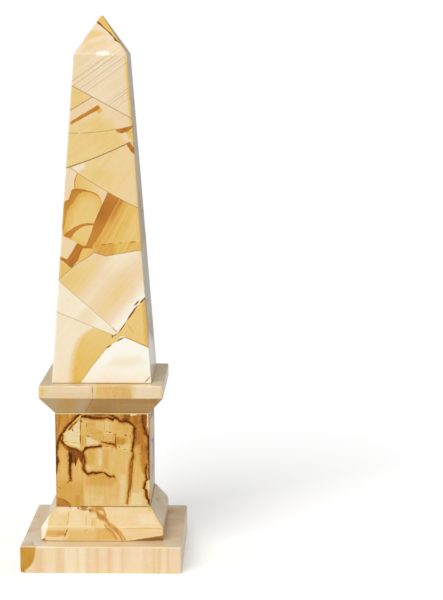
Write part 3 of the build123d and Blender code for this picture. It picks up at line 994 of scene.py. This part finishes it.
        (0.16, 2, 0.9, [(21, 1), (31, 1), (31, 11), (23.6, 11)]),
        (0.12, 0.6, 0.9, [(35.6, 8.2), (37.6, 5.5), (37.6, 22), (34.2, 20.6), (34.2, 14.6), (35.2, 13)]),
        # painted highlight: a pale strip along the right arris near the top
        (0.06, 0.5, 0.9, [(35.5, 65.2), (36.5, 64.4), (36.7, 78), (35.7, 78)]),
        (0.9, 0.6, 0.8, [(33.6, 66), (35.3, 66), (35.4, 78), (33.4, 78)]),
    ],
    "upper": [
        (0.17, 1.4, 1, [(-34, 50), (-17.6, 45), (-17.6, 80), (-34, 64)]),
        (0.46, 1, 0.9, [(-17.4, 57), (-13.2, 57), (-12.4, 71), (-17.2, 71)]),
        (0.64, 1, 0.9, [(-17.2, 49.8), (-14.3, 49.8), (-14.3, 57.4), (-17.2, 57.4)]),
        (0.56, 2, 0.8, [(-12, 60), (-6, 60), (-5, 68), (-11.6, 70)]),
        (0.4, 1.5, 0.8, [(-5, 62.5), (1.6, 61.4), (1.6, 70), (-5, 70)]),
        (0.2, 1.2, 0.9, [(-13, 49.4), (-3, 49.6), (-2.6, 52.4), (-9, 55.6), (-12.8, 56.8)]),
        (0.56, 2, 0.8, [(-9, 57), (-3, 53.6), (0.8, 52.4), (0.8, 60.6), (-10, 62.2)]),
        (0.32, 0.8, 0.8, [(1.8, 60.8), (7.4, 60), (7.4, 69), (1.8, 69.4)]),
        (0.1, 0.4, 0.7, [(1.4, 59), (8, 58.9), (8, 59.7), (1.4, 59.9)]),
        (0.54, 1, 0.9, [(11, 61.5), (14.6, 61.5), (14.6, 69), (11, 69)]),
        (0.56, 1, 0.7, [(16, 60.8), (21, 60.8), (21, 67), (16, 67)]),
        (0.72, 2.2, 0.9, [(10.2, 50.2), (18.6, 49.6), (18.4, 56), (10.2, 57)]),
        (0.3, 1.2, 0.8, [(11, 48), (16, 44), (25, 44), (25, 51), (18.8, 51)]),
        (0.55, 0.7, 0.9, [(7.8, 52.4), (9.8, 52.4), (9.8, 58.8), (7.8, 58.8)]),
    ],
    "lower": [
        (0.57, 3, 0.9, [(-14, 34), (-6, 34), (-6, 46), (-12, 46)]),
        # painted highlight: a cream spot at the veins' elbow
        (0.22, 2.4, 0.8, [(-13.8, 30), (-9.4, 27.8), (-9.4, 29.8), (-12.6, 35)]),
        # painted reflection: a pale upright sheen in the middle of the cell
        (0.2, 3, 0.9, [(-3.6, 34), (-0.2, 34), (-0.2, 49), (-3.8, 49)]),
        (0.54, 2.5, 0.9, [(0, 30), (5, 30), (5, 46), (0, 47)]),
        (0.62, 3, 0.8, [(-14, 17), (8, 16), (11, 22), (0, 26), (-12, 25)]),
        (0.2, 2.2, 0.8, [(13.6, 2), (18.6, 2), (18.4, 26), (13.8, 26)]),
        (0.26, 5, 0.7, [(-16, -4), (2, -4), (0, 8), (-15, 11)]),
        (0.28, 5, 0.6, [(4, -4), (18, -4), (18, 6), (6, 7)]),
    ],
}


def dieShape(look):
    side, top = halfOf("die"), tallOf("die")
    return [(0, 0), (side, 0, look["endArris"]), (side, top, look["endArris"]), (0, top)], []


# Outside the cell: orange at the upper left, honey lower down, brown to cream on the right.
def dieOutside(stone, look, ground):
    wide, high, side, paint = stone.wide, stone.high, stone.side, stone.paint
    upright, level, mottle = [stone.streaks[name] for name in ("upright", "level", "mottle")]
    tone = stone.curve(high, look["leftTones"], "AUTO") + 0.22 * upright + 0.08 * level
    tone = tone + 0.36 * mottle * side(high - 44, 20)
    right = stone.curve(high, look["rightTones"], "AUTO") + 0.26 * upright + 0.1 * mottle
    tone = paint(tone, right, side(wide - 20))
    foot = stone.inlay(ground["footLeft"], look["footPatches"], 0.1 * upright)
    tone = paint(tone, foot, side(-17 - wide) * side(18 - high, 6))
    return stone.inlay(tone, look["outside"], ground["outsideGrain"])


# Inside it: flat courses above the waist, honey below.
def dieInside(stone, look, ground):
    lower = stone.inlay(ground["lower"], look["lower"], 0.28 * stone.streaks["upright"])
    upper = stone.inlay(ground["upper"], look["upper"], ground["upperGrain"])
    return stone.paint(lower, upper, stone.side(stone.above(look["beams"]["waist"] + look["waistRight"])))


# Distance inside the cell, walled by the arch, the crown and the right vein.
def dieCell(stone, look):
    roof = stone.above(look["roofLeft"] + look["beams"]["crown"][1:])
    return stone.least(-roof, -stone.rightOf(look["veins"]["right"]), stone.rightOf(look["cellLeft"]))


# Dark veins with rusty borders, their width uneven; the thickest hang from the waist as a mass.
def dieVeins(stone, look, ground, tone):
    wide, high, side, paint = stone.wide, stone.high, stone.side, stone.paint
    climbing = [stone.climbing(line) for line in look["veins"].values()]
    lines = climbing + [stone.across(line) for line in look["beams"].values()]
    grit = stone.noise(stone.position, 1 / 1.8, 1) - 0.5
    vein = stone.most(*lines) + 1.2 * grit
    mass = stone.course(look["massFoot"], look["massTop"]) + 1.6 * grit
    rust = side(stone.noise(stone.position, 1 / 7, 1) - 0.44, 0.25)
    tone = paint(tone, look["rustTone"], (0.45 + 0.5 * rust) * side(stone.most(vein, mass) + 1.2, 2))
    tone = paint(tone, look["rustTone"], 0.75 * stone.scratches(look["threads"]))
    tone = paint(tone, look["hairTone"], 0.45 * stone.scratches(look["hairs"]))
    tone = paint(tone, ground["bruise"], 0.9 * side(stone.across(look["bruise"]), 1))
    tone = paint(tone, ground["mass"], side(mass + 5 * stone.streaks["upright"], 1.4))
    core = stone.most(side(vein + 0.15, 0.6), stone.scratches(look["specks"]))
    aged = 0.12 * side(42 - high, 14) * side(9 - abs(wide - 21), 6) + 0.05 * rust
    return paint(tone, 1 - aged + 0.16 * grit, core), core


def dieStone(look):
    stone = Stone("die_stone")
    stone.lay("die", lambda stone, height, look: halfOf("die"), look)
    side, ground = stone.side, stone.grounds(look)
    tone = dieOutside(stone, look, ground)
    tone = stone.paint(tone, dieInside(stone, look, ground), side(dieCell(stone, look), 0.6))
    tone, core = dieVeins(stone, look, ground, tone)
    tone = stone.paint(tone, look["splitTone"], stone.scratches(look["splits"]))
    leftArris = side(-stone.wide - halfOf("die") + 0.8, 0.6) * side(stone.high - 20, 20)
    tone = stone.paint(tone, 0.91, 0.7 * leftArris)
    tone = stone.paint(tone, 0.08, side(stone.height - tallOf("die") + look["paleRim"], 0.5))
    return stone.finish(look, tone, 0.6 * core)


# The cap's stone is sandy and close in grain: an upright fascia over a splay.
capLook = {
    "slot": "cap_stone", "step": 0.8, "cornerRadius": 0.8, "sideSteps": 72, "splayHeight": 13.8,
    "lip": 0.4, "footArris": 0.2, "fasciaArris": 0.4, "topArris": 1.5, "chipAt": 39,
    # the bruise on the top arris: a shallow dent whose pale knocked tone is partly a painted highlight
    "topChip": {"facing": (0, -0.7, 0.7), "depth": 0.7, "reach": 5, "rough": 0.03, "grain": 4},
    "fresh": 0.14, "grain": 0.05, "cloud": 0.06, "drift": 0.6, "polish": 0.14, "gloss": 0.5,
    "crackDepth": 0.15, "seed": 21, "dip": 0.1, "sway": 4,
    "tones": [
        (0, (252, 246, 232)), (0.2, (240, 221, 190)), (0.35, (234, 208, 170)), (0.5, (227, 203, 150)),
        (0.56, (230, 190, 118)), (0.64, (212, 160, 86)), (0.7, (206, 181, 144)), (0.77, (196, 160, 108)),
        (0.85, (186, 140, 80)), (0.94, (130, 92, 50)), (1, (84, 56, 28)),
    ],
    "streaks": {"level": (2, 0.9, 25, 8), "upright": (86, 2.2, 20, 9)},
    "grounds": {
        "fascia": (0.42, {"level": 0.16, "upright": 0.08}),
        "fasciaGrain": (0, {"level": 0.14, "upright": 0.08}),
        "slopeGrain": (0, {"level": 0.06, "upright": 0.04}),
        "splayGrain": (0, {"level": 0.12, "upright": 0.08}),
    },
    "fascia": [
        (0.3, 1.4, 0.9, [(-42, 18.2), (-8, 18.6), (-8, 22.6), (-42, 22.6)]),
        (0.16, 0.5, 0.8, [(-29, 22.5), (-9.4, 22.6), (-9.4, 23.3), (-29, 23.2)]),
        (0.57, 1.8, 1, [(-4.2, 11), (31, 11), (30.4, 27), (-3.8, 27)]),
        (0.5, 1, 0.8, [(-8.4, 13.8), (-3.9, 13.8), (-3.9, 24), (-8.4, 24)]),
        (0.6, 2.5, 0.6, [(16, 15), (24, 15), (24.4, 20), (17, 20.6)]),
        (0.28, 6, 1, [(26.6, 6), (54, 6), (54, 31), (25.8, 31)]),
        (0.08, 0.8, 0.5, [(26.5, 15.4), (27.9, 15.6), (27.9, 16.8), (26.5, 16.6)]),
        (0.54, 0.8, 0.8, [(46.6, 13), (49.5, 13), (49.5, 23), (47.2, 24)]),
        (0.58, 1.6, 0.8, [(-47.6, 15.6), (-45, 15), (-44.4, 20.6), (-47.6, 21.2)]),
    ],
    # tones of the splay by place across, and its patches
    "slope": [(-49, 0.725), (-14.4, 0.735), (-11.4, 0.785), (14, 0.8), (30, 0.785), (49, 0.765)],
    "splay": [
        (0.84, 1.8, 0.8, [(-8.4, 1.5), (-2.2, 1.2), (-2.4, 5), (-7.6, 6)]),
        (0.84, 2, 0.6, [(14.6, 9.4), (34, 9), (36, 13.8), (14, 13.8)]),
        (0.86, 1.6, 0.8, [(34, 9.4), (44, 9), (44, 13.4), (34, 12.2)]),
    ],
    "crackTone": 0.93,
    "cracks": [
        ((-6.4, 24.4), (-6.4, 16.8), 0.35), ((-6.4, 17.6), (-6, 13.4), 0.15),
        ((-6.1, 14), (-7.6, 10.6), 0.25), ((-7.4, 11), (-9.1, 7.2), 0.35),
        ((-8.9, 7.8), (-10.9, 3.8), 0.25), ((-10.4, 4.6), (-13.8, 1), 0.4),
        ((-4.9, 13), (-5.9, 10.6), 0.2),
    ],
    # tones of the threads on the splay and on the fascia
    "threadTones": (0.87, 0.64),
    "threads": [
        ((-9.5, 13.8), (-9.5, 19.6), 0.12), ((-7.9, 13.8), (-7.8, 20), 0.12),
        ((-5.2, 14), (-5.3, 17.6), 0.12), ((-3.9, 14), (-3.9, 17.6), 0.12), ((3.7, 15), (3.9, 21), 0.25),
        ((3.2, 21.2), (8.4, 21.2), 0.2), ((5.6, 15.6), (6.4, 19.6), 0.15), ((9, 21.2), (9.8, 18.6), 0.3),
        ((9.4, 15.6), (12.8, 15.4), 0.25), ((12.6, 16), (13.4, 19.6), 0.4),
        ((9.8, 16.6), (12.2, 16.2), 0.5), ((10.4, 19.4), (12, 18.6), 0.3),
        ((9.2, 17.4), (9.6, 19.4), 0.3), ((-30, 17.4), (-17, 17.5), 0.2), ((-9, 18.2), (3, 18), 0.12),
        ((14, 16.6), (26, 16.5), 0.15), ((28, 16.2), (46, 16.4), 0.15), ((11.3, 13.4), (11.1, 9), 0.45),
        ((9.6, 12.8), (9.6, 10), 0.15), ((15, 12.2), (15.6, 9.8), 0.2), ((22, 10.6), (34, 8.6), 0.25),
        ((-34, 10.6), (-22, 10.2), 0.25), ((0, 1.2), (12, 1), 0.5), ((16, 1), (36, 1.1), 0.45),
    ],
}


def capShape(look):
    side, top, foot = halfOf("cap"), tallOf("cap"), halfOf("die") + look["lip"]
    outline = [
        (0, 0),
        (foot, 0, look["footArris"]),
        (side, look["splayHeight"], look["fasciaArris"]),
        (side, top, look["topArris"]),
        (0, top),
    ]
    return outline, [{"corner": (look["chipAt"], -side, top), **look["topChip"]}]


# Half width of the cap: the splay widens until it meets the upright fascia.
def capHalf(stone, height, look):
    foot = halfOf("die") + look["lip"]
    return stone.least(foot + height * ((halfOf("cap") - foot) / look["splayHeight"]), halfOf("cap"))


def capStone(look):
    stone = Stone("cap_stone")
    stone.lay("cap", capHalf, look)
    ground, paint = stone.grounds(look), stone.paint
    fascia = stone.inlay(ground["fascia"], look["fascia"], ground["fasciaGrain"])
    splay = stone.curve(stone.wide - 0.45 * stone.high, look["slope"], "AUTO") + ground["slopeGrain"]
    splay = stone.inlay(splay, look["splay"], ground["splayGrain"])
    onFascia = stone.side(stone.high - look["splayHeight"] - 0.1, 0.3)
    tone = paint(splay, fascia, onFascia)
    threads, crack = stone.scratches(look["threads"]), stone.scratches(look["cracks"])
    splayThread, fasciaThread = look["threadTones"]
    tone = paint(tone, paint(splayThread, fasciaThread, onFascia), 0.7 * threads)
    tone = paint(tone, look["crackTone"], 0.9 * crack)
    return stone.finish(look, tone, crack)


# The socle's stone is cream, with rusty swirls at the front; the slope starts at the band's height.
socleLook = {
    "slot": "socle_stone", "step": 0.7, "cornerRadius": 0.5, "sideSteps": 72, "bandHeight": 11,
    "ledge": 0.9, "footArris": 0.3, "bandArris": 0.6, "topArris": 0.3,
    # slivers off the lower corners, as (side, length, rise, depth)
    "knocks": [(1, 28, 4.6, 4.5), (-1, 5, 1.4, 1.6)],
    "fresh": 0.77, "grain": 0.05, "cloud": 0.1, "drift": 0.7, "polish": 0.14, "gloss": 0.5,
    "crackDepth": 0.2, "seed": 31, "dip": 0.08, "sway": 4,
    "tones": [
        (0, (253, 246, 228)), (0.15, (242, 222, 184)), (0.3, (236, 208, 158)), (0.45, (230, 198, 130)),
        (0.6, (224, 178, 96)), (0.72, (212, 156, 72)), (0.84, (176, 126, 44)), (0.93, (126, 84, 24)),
        (1, (66, 40, 14)),
    ],
    "streaks": {"level": (3, 1.4, 20, 12), "upright": (84, 2.4, 16, 13)},
    "grounds": {
        "stone": (0.34, {"level": 0.12, "upright": 0.12}),
        "patchGrain": (0, {"level": 0.14, "upright": 0.1}),
        "swirl": (0.8, {"upright": 0.3}),
        "arris": (0.03, {"level": 0.2}),
    },
    "patches": [
        (0.26, 4, 0.9, [(-27, 11), (-14, 11), (-18, 22), (-26, 23)]),
        (0.4, 2, 0.7, [(-36, 11), (-28, 11), (-28, 19), (-33, 19)]),
        (0.16, 2, 0.8, [(-35, 20), (-20, 23.4), (-20, 26), (-37, 26)]),
        (0.61, 1.6, 1, [(-44.5, 3.8), (-30, 4), (-28.6, 8.8), (-44.5, 8.6)]),
        (0.7, 1.2, 0.6, [(-36, 4.2), (-30.2, 4.4), (-29.4, 7.4), (-36, 7)]),
        (0.2, 1.2, 0.9, [(-44.5, 0), (-32, 0.4), (-31, 3), (-44.5, 3)]),
        (0.52, 4, 0.9, [(-28, 0), (-4, 0), (-4, 9), (-27, 9.4)]),
        (0.58, 2.5, 1, [(-5, 1), (15, 1), (9, 10.4), (-5, 11)]),
        (0.68, 1, 0.9, [(-9, 22.6), (1.2, 22.6), (0.4, 25.4), (-10, 25.4)]),
        (0.52, 1, 0.8, [(-8.6, 11), (-5, 11), (-5, 17), (-8, 18)]),
        (0.3, 6, 0.8, [(12, 3), (48, 3), (38, 24), (8, 24)]),
        (0.16, 3, 0.7, [(30, 13), (44, 13), (40, 20), (28, 20)]),
        (0.58, 1, 0.8, [(19, 9.8), (47.6, 9.8), (47.6, 11.1), (19, 11.2)]),
        (0.16, 1, 0.7, [(34, 8.2), (47, 8.2), (47, 9.6), (34, 9.6)]),
        (0.6, 1.2, 0.9, [(36.4, 22.2), (38.6, 22), (38.4, 24.6), (36.2, 24.6)]),
        # painted highlight: a pale line along the top edge of the right knock
        (0.18, 0.8, 0.8, [(20, 0.4), (48, 4.4), (48, 5.8), (20, 1.6)]),
    ],
    "knot": (0.8, 2, 0.9, [(-4.4, 17.6), (0, 16.4), (3.4, 16.2), (2, 19.6), (-2.6, 21)]),
    # painted highlight: near-white stone left of this line, along the front's left arris
    "paleArris": [(-46.4, 0), (-46.1, 1.5), (-45.1, 4.5), (-43, 11), (-43, 16), (-41.2, 21), (-38.4, 25)],
    "swirls": [
        [
            (-10.5, 22.8, 0.8), (-6, 22.6, 0.5), (-3.8, 20.6, 0.9), (-2.4, 18.4, 1), (0.4, 17.4, 1),
            (3.3, 15.8, 0.8), (5.6, 12.6, 0.7), (9, 10.8, 0.8), (12.6, 7.2, 0.8), (15.1, 2.9, 0.5),
            (16.4, 0.4, 0.3),
        ],
        [(-6, 24.4, 0.3), (0.4, 23.2, 0.4), (2.6, 19, 0.3)],
        [(2, 12.6, 0.3), (5.4, 9.4, 0.4), (8.6, 6.4, 0.4), (11.4, 2, 0.3)],
        [(8.8, 12.2, 0.2), (12.4, 9.4, 0.25), (16, 5, 0.25), (18.2, 0.8, 0.15)],
    ],
    "threadTone": 0.8,
    "threads": [
        ((-26.4, 26), (-25.1, 22.7), 0.3), ((-25.1, 22.9), (-27.6, 20.8), 0.2),
        ((-27.2, 21.2), (-26.9, 17.2), 0.3), ((-27, 17.6), (-27.8, 12), 0.5),
        ((-13.1, 22), (-12.6, 11), 0.25), ((-8.3, 17.4), (-8.1, 11), 0.35),
        ((-14.6, 7.6), (-11.1, 9.8), 0.4), ((-44, 3.4), (-31, 3.4), 0.3),
    ],
    "crackTone": 0.92,
    "cracks": [
        ((-18.6, 24.6), (-11.4, 24.6), 0.75), ((-18.6, 23.2), (-11, 23.2), 0.75),
        ((-20.2, 24.2), (-18.8, 24.2), 0.8), ((-11.4, 23.2), (-8.8, 22.2), 0.8),
        ((-26.5, 25.2), (-26.3, 24.4), 0.4), ((-27.2, 10.4), (-28.9, 5.8), 0.45),
        ((-28.6, 6.6), (-30, 3.4), 0.6), ((-4.2, 20.2), (0.6, 17.8), 0.25),
        ((-46.7, 0.8), (-45.5, 1.8), 0.7),
    ],
}


def socleShape(look):
    side, top, inner = halfOf("socle"), tallOf("socle"), halfOf("die") + look["ledge"]
    outline = [
        (0, 0),
        (side, 0, look["footArris"]),
        (side, look["bandHeight"], look["bandArris"]),
        (inner, top, look["topArris"]),
        (0, top),
    ]
    return outline, [knock("socle", *sliver) for sliver in look["knocks"]]


# Half width of the socle: an upright band, then a slope that runs in to the die.
def socleHalf(stone, height, look):
    foot, top = halfOf("socle"), halfOf("die") + look["ledge"]
    slope = (foot - top) / (tallOf("socle") - look["bandHeight"])
    return stone.least(foot, foot - (height - look["bandHeight"]) * slope)


def socleStone(look):
    stone = Stone("socle_stone")
    stone.lay("socle", socleHalf, look)
    side, paint, ground = stone.side, stone.paint, stone.grounds(look)
    tone = stone.inlay(ground["stone"], look["patches"], ground["patchGrain"])
    swirl = stone.most(*[stone.across(line) for line in look["swirls"]])
    marked = paint(tone, 0.7, 0.6 * side(swirl + 1.2, 2))
    marked = stone.inlay(marked, [look["knot"]], 0.3 * stone.streaks["upright"])
    marked = paint(marked, ground["swirl"], 0.85 * side(swirl + 0.4, 1.5))
    marked = paint(marked, look["threadTone"], 0.7 * stone.scratches(look["threads"]))
    near = 1 - 0.75 * side(stone.depth - 8, 14)
    tone = paint(tone, marked, near)
    # painted highlight along the front's left arris
    tone = paint(tone, ground["arris"], side(-stone.rightOf(look["paleArris"]), 0.8))
    crack = stone.scratches(look["cracks"]) * near
    tone = paint(tone, look["crackTone"], 0.9 * crack)
    return stone.finish(look, tone, crack)


# The plinth's stone is banded upright, and its bands run back into the block on a slant.
plinthLook = {
    "slot": "plinth_stone", "step": 1.1, "cornerRadius": 1, "sideSteps": 72, "footArris": 0.3,
    "topArris": 1.4,
    "knocks": [(-1, 3.6, 5.5, 4)],
    "fresh": 0.86, "grain": 0.05, "cloud": 0.12, "drift": 0.6, "polish": 0.16, "gloss": 0.5,
    "crackDepth": 0.2, "seed": 41, "lean": 0.35, "dip": 0, "sway": 5,
    "tones": [
        (0, (250, 240, 222)), (0.2, (243, 225, 192)), (0.4, (238, 209, 168)), (0.55, (232, 197, 145)),
        (0.7, (222, 180, 112)), (0.84, (198, 142, 14)), (0.95, (130, 90, 36)), (1, (80, 50, 26)),
    ],
    "streaks": {"upright": (90, 1.8, 60, 15), "level": (1, 1.4, 40, 16)},
    "sawn": (0, 4.5, 60, 20),
    "patchStreak": (70, 4, 7, 17),
    # upright bands of the sides, as (place across, tone), and the tone that they part from
    "bandsMiddle": 0.38,
    "bands": [
        (-63, 0.46), (-52.4, 0.46), (-51, 0.56), (-46.5, 0.58), (-44.5, 0.36), (-36.6, 0.3), (-34.6, 0.5),
        (-29.6, 0.48), (-27.6, 0.22), (-20, 0.2), (-17.6, 0.34), (-16, 0.14), (-13, 0.14), (-11.4, 0.4),
        (-4.6, 0.44), (-2.8, 0.6), (-0.6, 0.4), (4, 0.36), (5.6, 0.54), (8.4, 0.52), (10, 0.3),
        (15.4, 0.3), (17, 0.46), (20, 0.34), (33, 0.32), (35, 0.46), (40, 0.42), (42, 0.58), (43.4, 0.46),
        (46.4, 0.6), (48, 0.32), (51.4, 0.34), (52.9, 0.6), (54.4, 0.4), (58, 0.36), (63, 0.34),
    ],
    # patches of the top, as (across, depth), and the edge of the orange one at the left end
    "top": [
        # painted shade and reflection of the socle: the right part of the top is darker
        (0.52, 10, 0.8, [(30, 12), (66, 12), (66, 118), (30, 118)]),
        # painted reflection of the socle's edges: a darker spot
        (0.74, 4, 0.7, [(45, 96), (56, 102), (54, 113), (46, 114)]),
        (0.12, 3, 0.8, [(-66, 118), (66, 118), (66, 130), (-66, 130)]),
    ],
    "patchTone": 0.825,
    "patchEdge": [
        (-61, 0), (-59.3, 2.6), (-57, 4.5), (-54.2, 7.7), (-52.4, 12.4), (-51.6, 17), (-51.4, 21.2),
    ],
}


def plinthShape(look):
    side, top = halfOf("plinth"), tallOf("plinth")
    outline = [(0, 0), (side, 0, look["footArris"]), (side, top, look["topArris"]), (0, top)]
    return outline, [knock("plinth", *sliver) for sliver in look["knocks"]]


def plinthStone(look):
    stone = Stone("plinth_stone")
    stone.lay("plinth", lambda stone, height, look: halfOf("plinth"), look)
    wide, high, side, paint = stone.wide, stone.high, stone.side, stone.paint
    top, middle = tallOf("plinth"), look["bandsMiddle"]
    upper = side(high - top + 0.8, 0.8)
    bands = middle + (stone.curve(wide, look["bands"], "AUTO") - middle) * (0.55 - 0.4 * upper)
    tone = bands + 0.2 * stone.streaks["upright"] + 0.1 * stone.streaks["level"]
    inside = stone.least(-stone.rightOf(look["patchEdge"], "AUTO"), top - 0.7 - high)

    # the sawn top is seen from above: its places are (across, depth)
    stone.wide, stone.high = stone.x, stone.depth
    sawn = stone.strata(*look["sawn"])
    # painted light: the top is paled towards its left end
    sawnTop = 0.28 - 0.22 * side(-38 - wide, 24) + 0.5 * sawn
    sawnTop = stone.inlay(sawnTop, look["top"], 0.5 * sawn)
    tone = paint(tone, sawnTop, 0.9 * upper)

    # the orange patch at the left end, with a rusty border and a dark upper rim
    tone = paint(tone, 0.62, 0.6 * side(inside + 0.9, 1.2))
    tone = paint(tone, look["patchTone"] + 0.14 * stone.strata(*look["patchStreak"]), side(inside, 0.7))
    rim = side(0.5 - abs(high - top + 0.8), 0.5) * side(inside + 0.4, 0.6)
    tone = paint(tone, 0.9, 0.5 * rim)
    return stone.finish(look, tone, side(-1 - high))


# Resin cement in the joints: even in colour, faintly clouded and matt.
cementLook = {
    "colours": {
        "cap_bed": (226, 200, 150),
        "die_bed": (170, 140, 92),
        "socle_bed": (196, 170, 128),
        "shaft_bed": (206, 182, 136),
    },
    "cloudWidth": 4, "dark": 0.86, "light": 1.06, "roughness": 0.55,
}


def cement(name, colour):
    look = cementLook
    paste = Stone(name + "_cement")
    place = paste.node("ShaderNodeTexCoord", {}, {}, "Object")
    cloud = paste.noise(place, 1 / (look["cloudWidth"] * mm))
    dark = written([look["dark"] * value for value in colour])
    light = written([min(255, look["light"] * value) for value in colour])
    inputs = paste.shader.inputs
    paste.feed(inputs["Base Color"], paste.mix(cloud, dark, light))
    inputs["Roughness"].default_value = look["roughness"]
    return paste.material


for name, colour in cementLook["colours"].items():
    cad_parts[name].material_slots[0].material = cement(name, colour)

pieces = {
    "plinth": (plinthLook, plinthShape, plinthStone),
    "socle": (socleLook, socleShape, socleStone),
    "die": (dieLook, dieShape, dieStone),
    "cap": (capLook, capShape, capStone),
    "shaft": (shaftLook, shaftShape, shaftStone),
}
for node, (look, shape, stone) in pieces.items():
    piece = stoneBlock("stone_" + node, node, look, *shape(look))
    piece.data.materials.append(stone(look))


# Light levels: a white card facing the front shows 1.
studio = {
    "cameraAt": (0.1177, -1.4134, 0.4206), "cameraDown": 8.544, "cameraLeft": 0.966, "lens": 106.7,
    "keyFrom": (-24, 36), "keySpread": 36, "keyStrength": 1.75,
    "fillFrom": (35, 20), "fillSpread": 60, "fillStrength": 0.2,
    "ambient": 0.45, "mirrored": 0.4,
    # the floor: its size in metres, its white under the lights and to the camera, the share of
    # light that falls on it, the white that it shows, and how far out the stone mirrors it
    "floorRadius": 1.1, "floorRings": 12, "floorSpokes": 96,
    "floorWhite": 0.8, "floorSeen": 1, "floorLit": 0.775, "floorShown": 1.02, "mirrorReach": 0.35,
}


# A soft sun: its light comes from the azimuth and elevation given, in degrees.
def softSun(name, start, spread, strength):
    data = bpy.data.lights.new(name, "SUN")
    data.angle = math.radians(spread)
    data.energy = strength
    sun = bpy.data.objects.new(name, data)
    azimuth, elevation = start
    sun.rotation_euler = (math.radians(90 - elevation), 0, math.radians(azimuth))
    bpy.context.scene.collection.objects.link(sun)


# White paper. The camera is shown a plain white floor on which only the shadow falls, and the
# floor's mirror image in the stone fades away from the foot.
def floorPaper():
    paper = Stone("floor_paper")
    path = paper.node("ShaderNodeLightPath", {}, {})
    camera, glossy = path.output("Is Camera Ray"), path.output("Is Glossy Ray")
    place = paper.node("ShaderNodeTexCoord", {}, {}, "Object")
    reach = paper.vectorMaths("LENGTH", {0: place}, "Value")
    near = paper.ramp(reach, -1 / studio["mirrorReach"], 1)
    seen = camera + path.output("Is Transmission Ray") + glossy * near
    shade = paper.paint(studio["floorWhite"], studio["floorSeen"], camera)
    lift = seen * (studio["floorShown"] - studio["floorLit"])
    inputs = paper.shader.inputs
    paper.feed(inputs["Base Color"], paper.vector(shade, shade, shade))
    paper.feed(inputs["Emission Color"], paper.vector(lift, lift, lift))
    for name, level in {"Roughness": 1, "Specular IOR Level": 0, "Emission Strength": 1}.items():
        inputs[name].default_value = level
    return paper.material


# Floor: a flat disc, point = r (cos a, sin a) on an even grid of r and a.
def makeFloor():
    r = np.linspace(0, studio["floorRadius"], studio["floorRings"] + 1)[1:]
    a = np.linspace(0, 2 * math.pi, studio["floorSpokes"] + 1)[:-1]
    ring = np.outer(r, np.exp(1j * a)).ravel()
    points = np.concatenate([[[0, 0, 0]], np.stack([ring.real, ring.imag, 0 * ring.real], axis=-1)])
    k = 1 + np.arange(len(ring)).reshape(len(r), len(a))
    on = np.roll(k, -1, axis=1)
    quads = np.stack([k[:-1], k[1:], on[1:], on[:-1]], axis=-1).reshape(-1, 4)
    middle = np.stack([np.zeros(len(a), int), k[0], on[0]], axis=-1)
    mesh = bpy.data.meshes.new("floor")
    mesh.from_pydata(points.tolist(), [], quads.tolist() + middle.tolist())
    floor = bpy.data.objects.new("floor", mesh)
    bpy.context.scene.collection.objects.link(floor)
    floor.data.materials.append(floorPaper())


# Room: an even glow, full white behind the scene, weaker where it lights or is mirrored.
def makeWorld():
    world = bpy.data.worlds.new("studio")
    world.use_nodes = True
    room = Nodes(world.node_tree)
    path = room.node("ShaderNodeLightPath", {}, {})
    seen = path.output("Is Camera Ray") + path.output("Is Transmission Ray")
    ambient, mirrored = studio["ambient"], studio["mirrored"]
    strength = ambient + (1 - ambient) * seen + (mirrored - ambient) * path.output("Is Glossy Ray")
    background = world.node_tree.nodes["Background"]
    background.inputs["Color"].default_value = (1, 1, 1, 1)
    room.feed(background.inputs["Strength"], strength)
    bpy.context.scene.world = world


def makeCamera():
    camera = bpy.data.objects.new("camera", bpy.data.cameras.new("camera"))
    camera.location = studio["cameraAt"]
    down, left = math.radians(studio["cameraDown"]), math.radians(studio["cameraLeft"])
    camera.rotation_euler = (math.pi / 2 - down, 0, left)
    camera.data.lens = studio["lens"]
    bpy.context.scene.collection.objects.link(camera)
    bpy.context.scene.camera = camera


makeFloor()
softSun("key_sun", studio["keyFrom"], studio["keySpread"], studio["keyStrength"])
softSun("fill_sun", studio["fillFrom"], studio["fillSpread"], studio["fillStrength"])
makeWorld()
makeCamera()
bpy.context.scene.view_settings.view_transform = "Standard"
print("floor, lights and camera placed")
